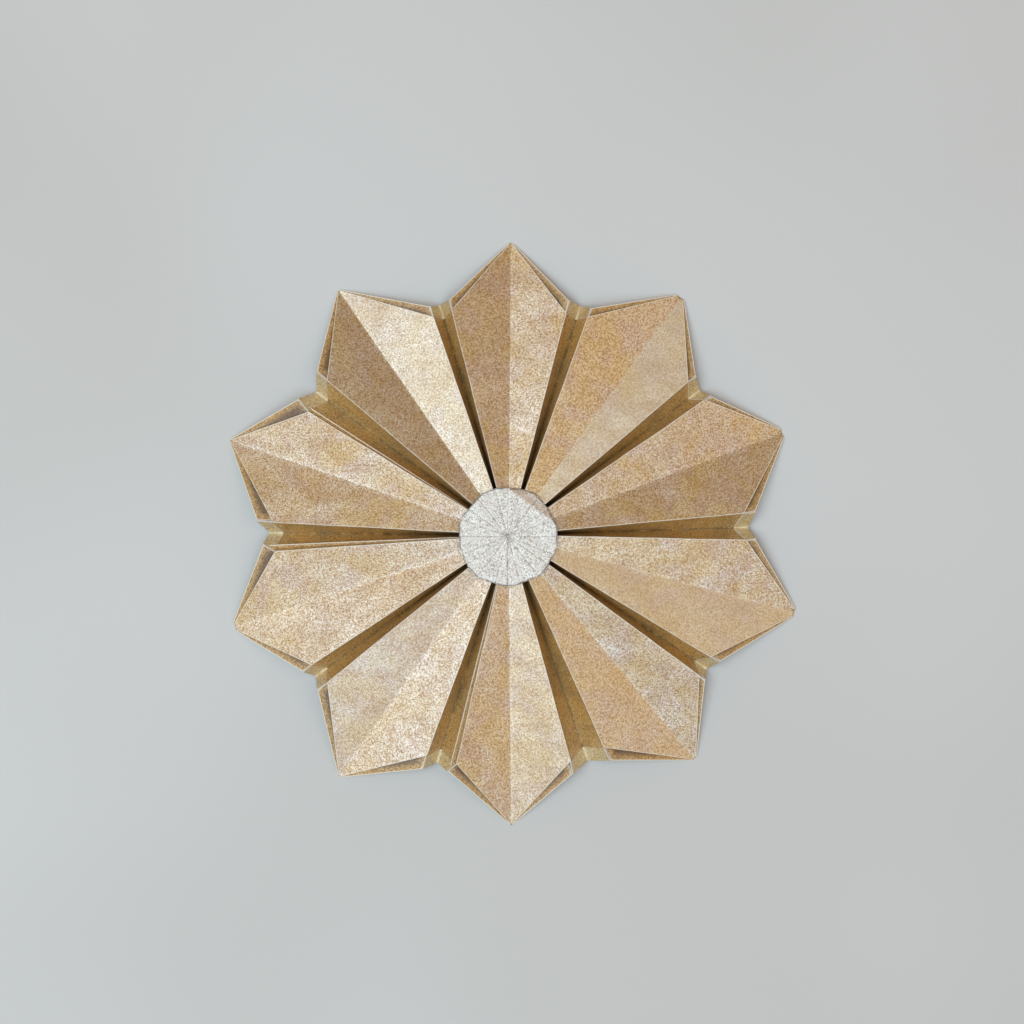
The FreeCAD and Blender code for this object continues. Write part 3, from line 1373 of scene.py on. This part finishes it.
@dataclass
class BackingDisc:
    """The plain round disc behind, on which the gussets' folds are glued."""

    finishes: Wardrobe
    cell: float = 1.2 * MM
    snips: int = 40
    trim: float = 0.992
    stray: tuple[float, float] = (0.006, 1.7)

    def build(self) -> bpy.types.Object:
        """Cuts and dresses the disc.

        Returns:
            The piece.
        """
        low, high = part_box("backing_disc")
        radius = high.x
        bench = Bench("plain_backing")
        bench.flat_sheet(-radius, radius, radius, self.cell)
        for index in range(self.snips):
            outward = at(1.0, index * math.tau / self.snips, 0.0)
            bench.cut(outward * radius * (self.trim + uneven(index, *self.stray)), outward)
        bpy.ops.mesh.select_all(action="SELECT")
        bench.shift((0.0, 0.0, high.z))
        piece = bench.close()
        Press.dress(piece, self.finishes.backing, self.finishes.core)
        Press.thicken(piece, high.z - low.z)
        Press.hand_over(piece, "backing_disc", Slot.BACKING)
        return piece


@dataclass
class PaperStar:
    """The whole star."""

    finishes: Wardrobe = field(default_factory=Wardrobe)
    nominal: Nominal = field(default_factory=Nominal)

    def build(self) -> list[bpy.types.Object]:
        """Builds every piece.

        Returns:
            The pieces.
        """
        pieces: list[bpy.types.Object] = []
        for index, fold in enumerate(FOLDS):
            rims = (GAPS[index - 1], GAPS[index])
            pieces += Petal(fold, rims, self.nominal, self.finishes).build()
        for index, gap in enumerate(GAPS):
            after = FOLDS[(index + 1) % PETALS]
            pieces.append(Gusset(gap, FOLDS[index], after, self.nominal, self.finishes).build())
        pieces.append(CentreDisc(self.finishes).build())
        pieces.append(BackingDisc(self.finishes).build())
        return pieces


# Studio ---------------------------------------------------------------------------------------------------


@dataclass(frozen=True)
class Lamp:
    """A square soft light aimed at the star."""

    name: str
    azimuth: float
    elevation: float
    power: float
    colour: tuple[float, float, float]
    distance: float = 1.2
    side: float = 0.8

    def hang(self) -> None:
        """Hangs the lamp."""
        data = bpy.data.lights.new(self.name, "AREA")
        data.shape = "SQUARE"
        data.size = self.side
        data.energy = self.power
        data.color = self.colour
        lamp = bpy.data.objects.new(self.name, data)
        bpy.context.scene.collection.objects.link(lamp)
        lift, turn = math.radians(self.elevation), math.radians(self.azimuth)
        place = at(math.cos(lift), turn, math.sin(lift)) * self.distance
        lamp.location = place
        lamp.rotation_euler = place.to_track_quat("Z", "Y").to_euler()


@dataclass
class Studio:
    """Pale floor, soft lights, and the camera straight above."""

    view_width: float = 287.3 * MM
    near_clip: float = 0.01
    height: float = 394 * MM
    aim: tuple[float, float] = (0.9 * MM, 6.3 * MM)
    floor_size: float = 4.0
    floor_drop: float = 0.05 * MM
    floor_patch: float = 0.25
    room: Colour = (1.0, 0.72, 0.49, 1.0)
    room_strength: float = 0.30
    lamps: tuple[Lamp, ...] = (
        Lamp("window", 180.0, 68.0, 7.2, (0.68, 0.87, 1.0)),
        Lamp("second_window", 270.0, 68.0, 4.7, (0.46, 0.75, 1.0)),
        Lamp("far_wall", 0.0, 50.0, 1.1, (1.0, 0.80, 0.78)),
    )

    def build(self) -> None:
        """Sets up everything around the star."""
        bpy.ops.object.select_all(action="DESELECT")
        bpy.ops.mesh.primitive_plane_add(size=self.floor_size)
        floor = bpy.context.active_object
        floor.name = "floor"
        # It lies a hair low, so that it doesn't share a plane with the backing disc's rear face.
        floor.data.transform(Matrix.Translation((0.0, 0.0, -self.floor_drop)))
        paint = Shader("pale_floor")
        patches = paint.noise(self.floor_patch, 2.0).step(0.4, 0.65)
        shade = paint.mix(tone(226, 222, 216), tone(218, 213, 206), patches)
        floor.data.materials.append(paint.finish({"Base Color": shade, "Roughness": 0.85}))
        for lamp in self.lamps:
            lamp.hang()
        world = bpy.data.worlds.new("room_light")
        world.use_nodes = True
        background = world.node_tree.nodes["Background"]
        background.inputs["Color"].default_value = self.room
        background.inputs["Strength"].default_value = self.room_strength
        bpy.context.scene.world = world
        bpy.context.scene.view_settings.view_transform = "Standard"
        self.place_camera()

    def place_camera(self) -> None:
        """Puts the camera straight above the star."""
        data = bpy.data.cameras.new("camera")
        data.angle = 2 * math.atan(self.view_width / 2 / self.height)
        data.clip_start = self.near_clip
        camera = bpy.data.objects.new("camera", data)
        camera.location = (*self.aim, self.height)
        bpy.context.scene.collection.objects.link(camera)
        bpy.context.scene.camera = camera


def main() -> None:
    """Builds the star and its studio."""
    logging.basicConfig(level=logging.INFO, format="%(message)s")
    pieces = PaperStar().build()
    Studio().build()
    LOG.info("%d pieces", len(pieces))


if __name__ == "__main__":
    main()
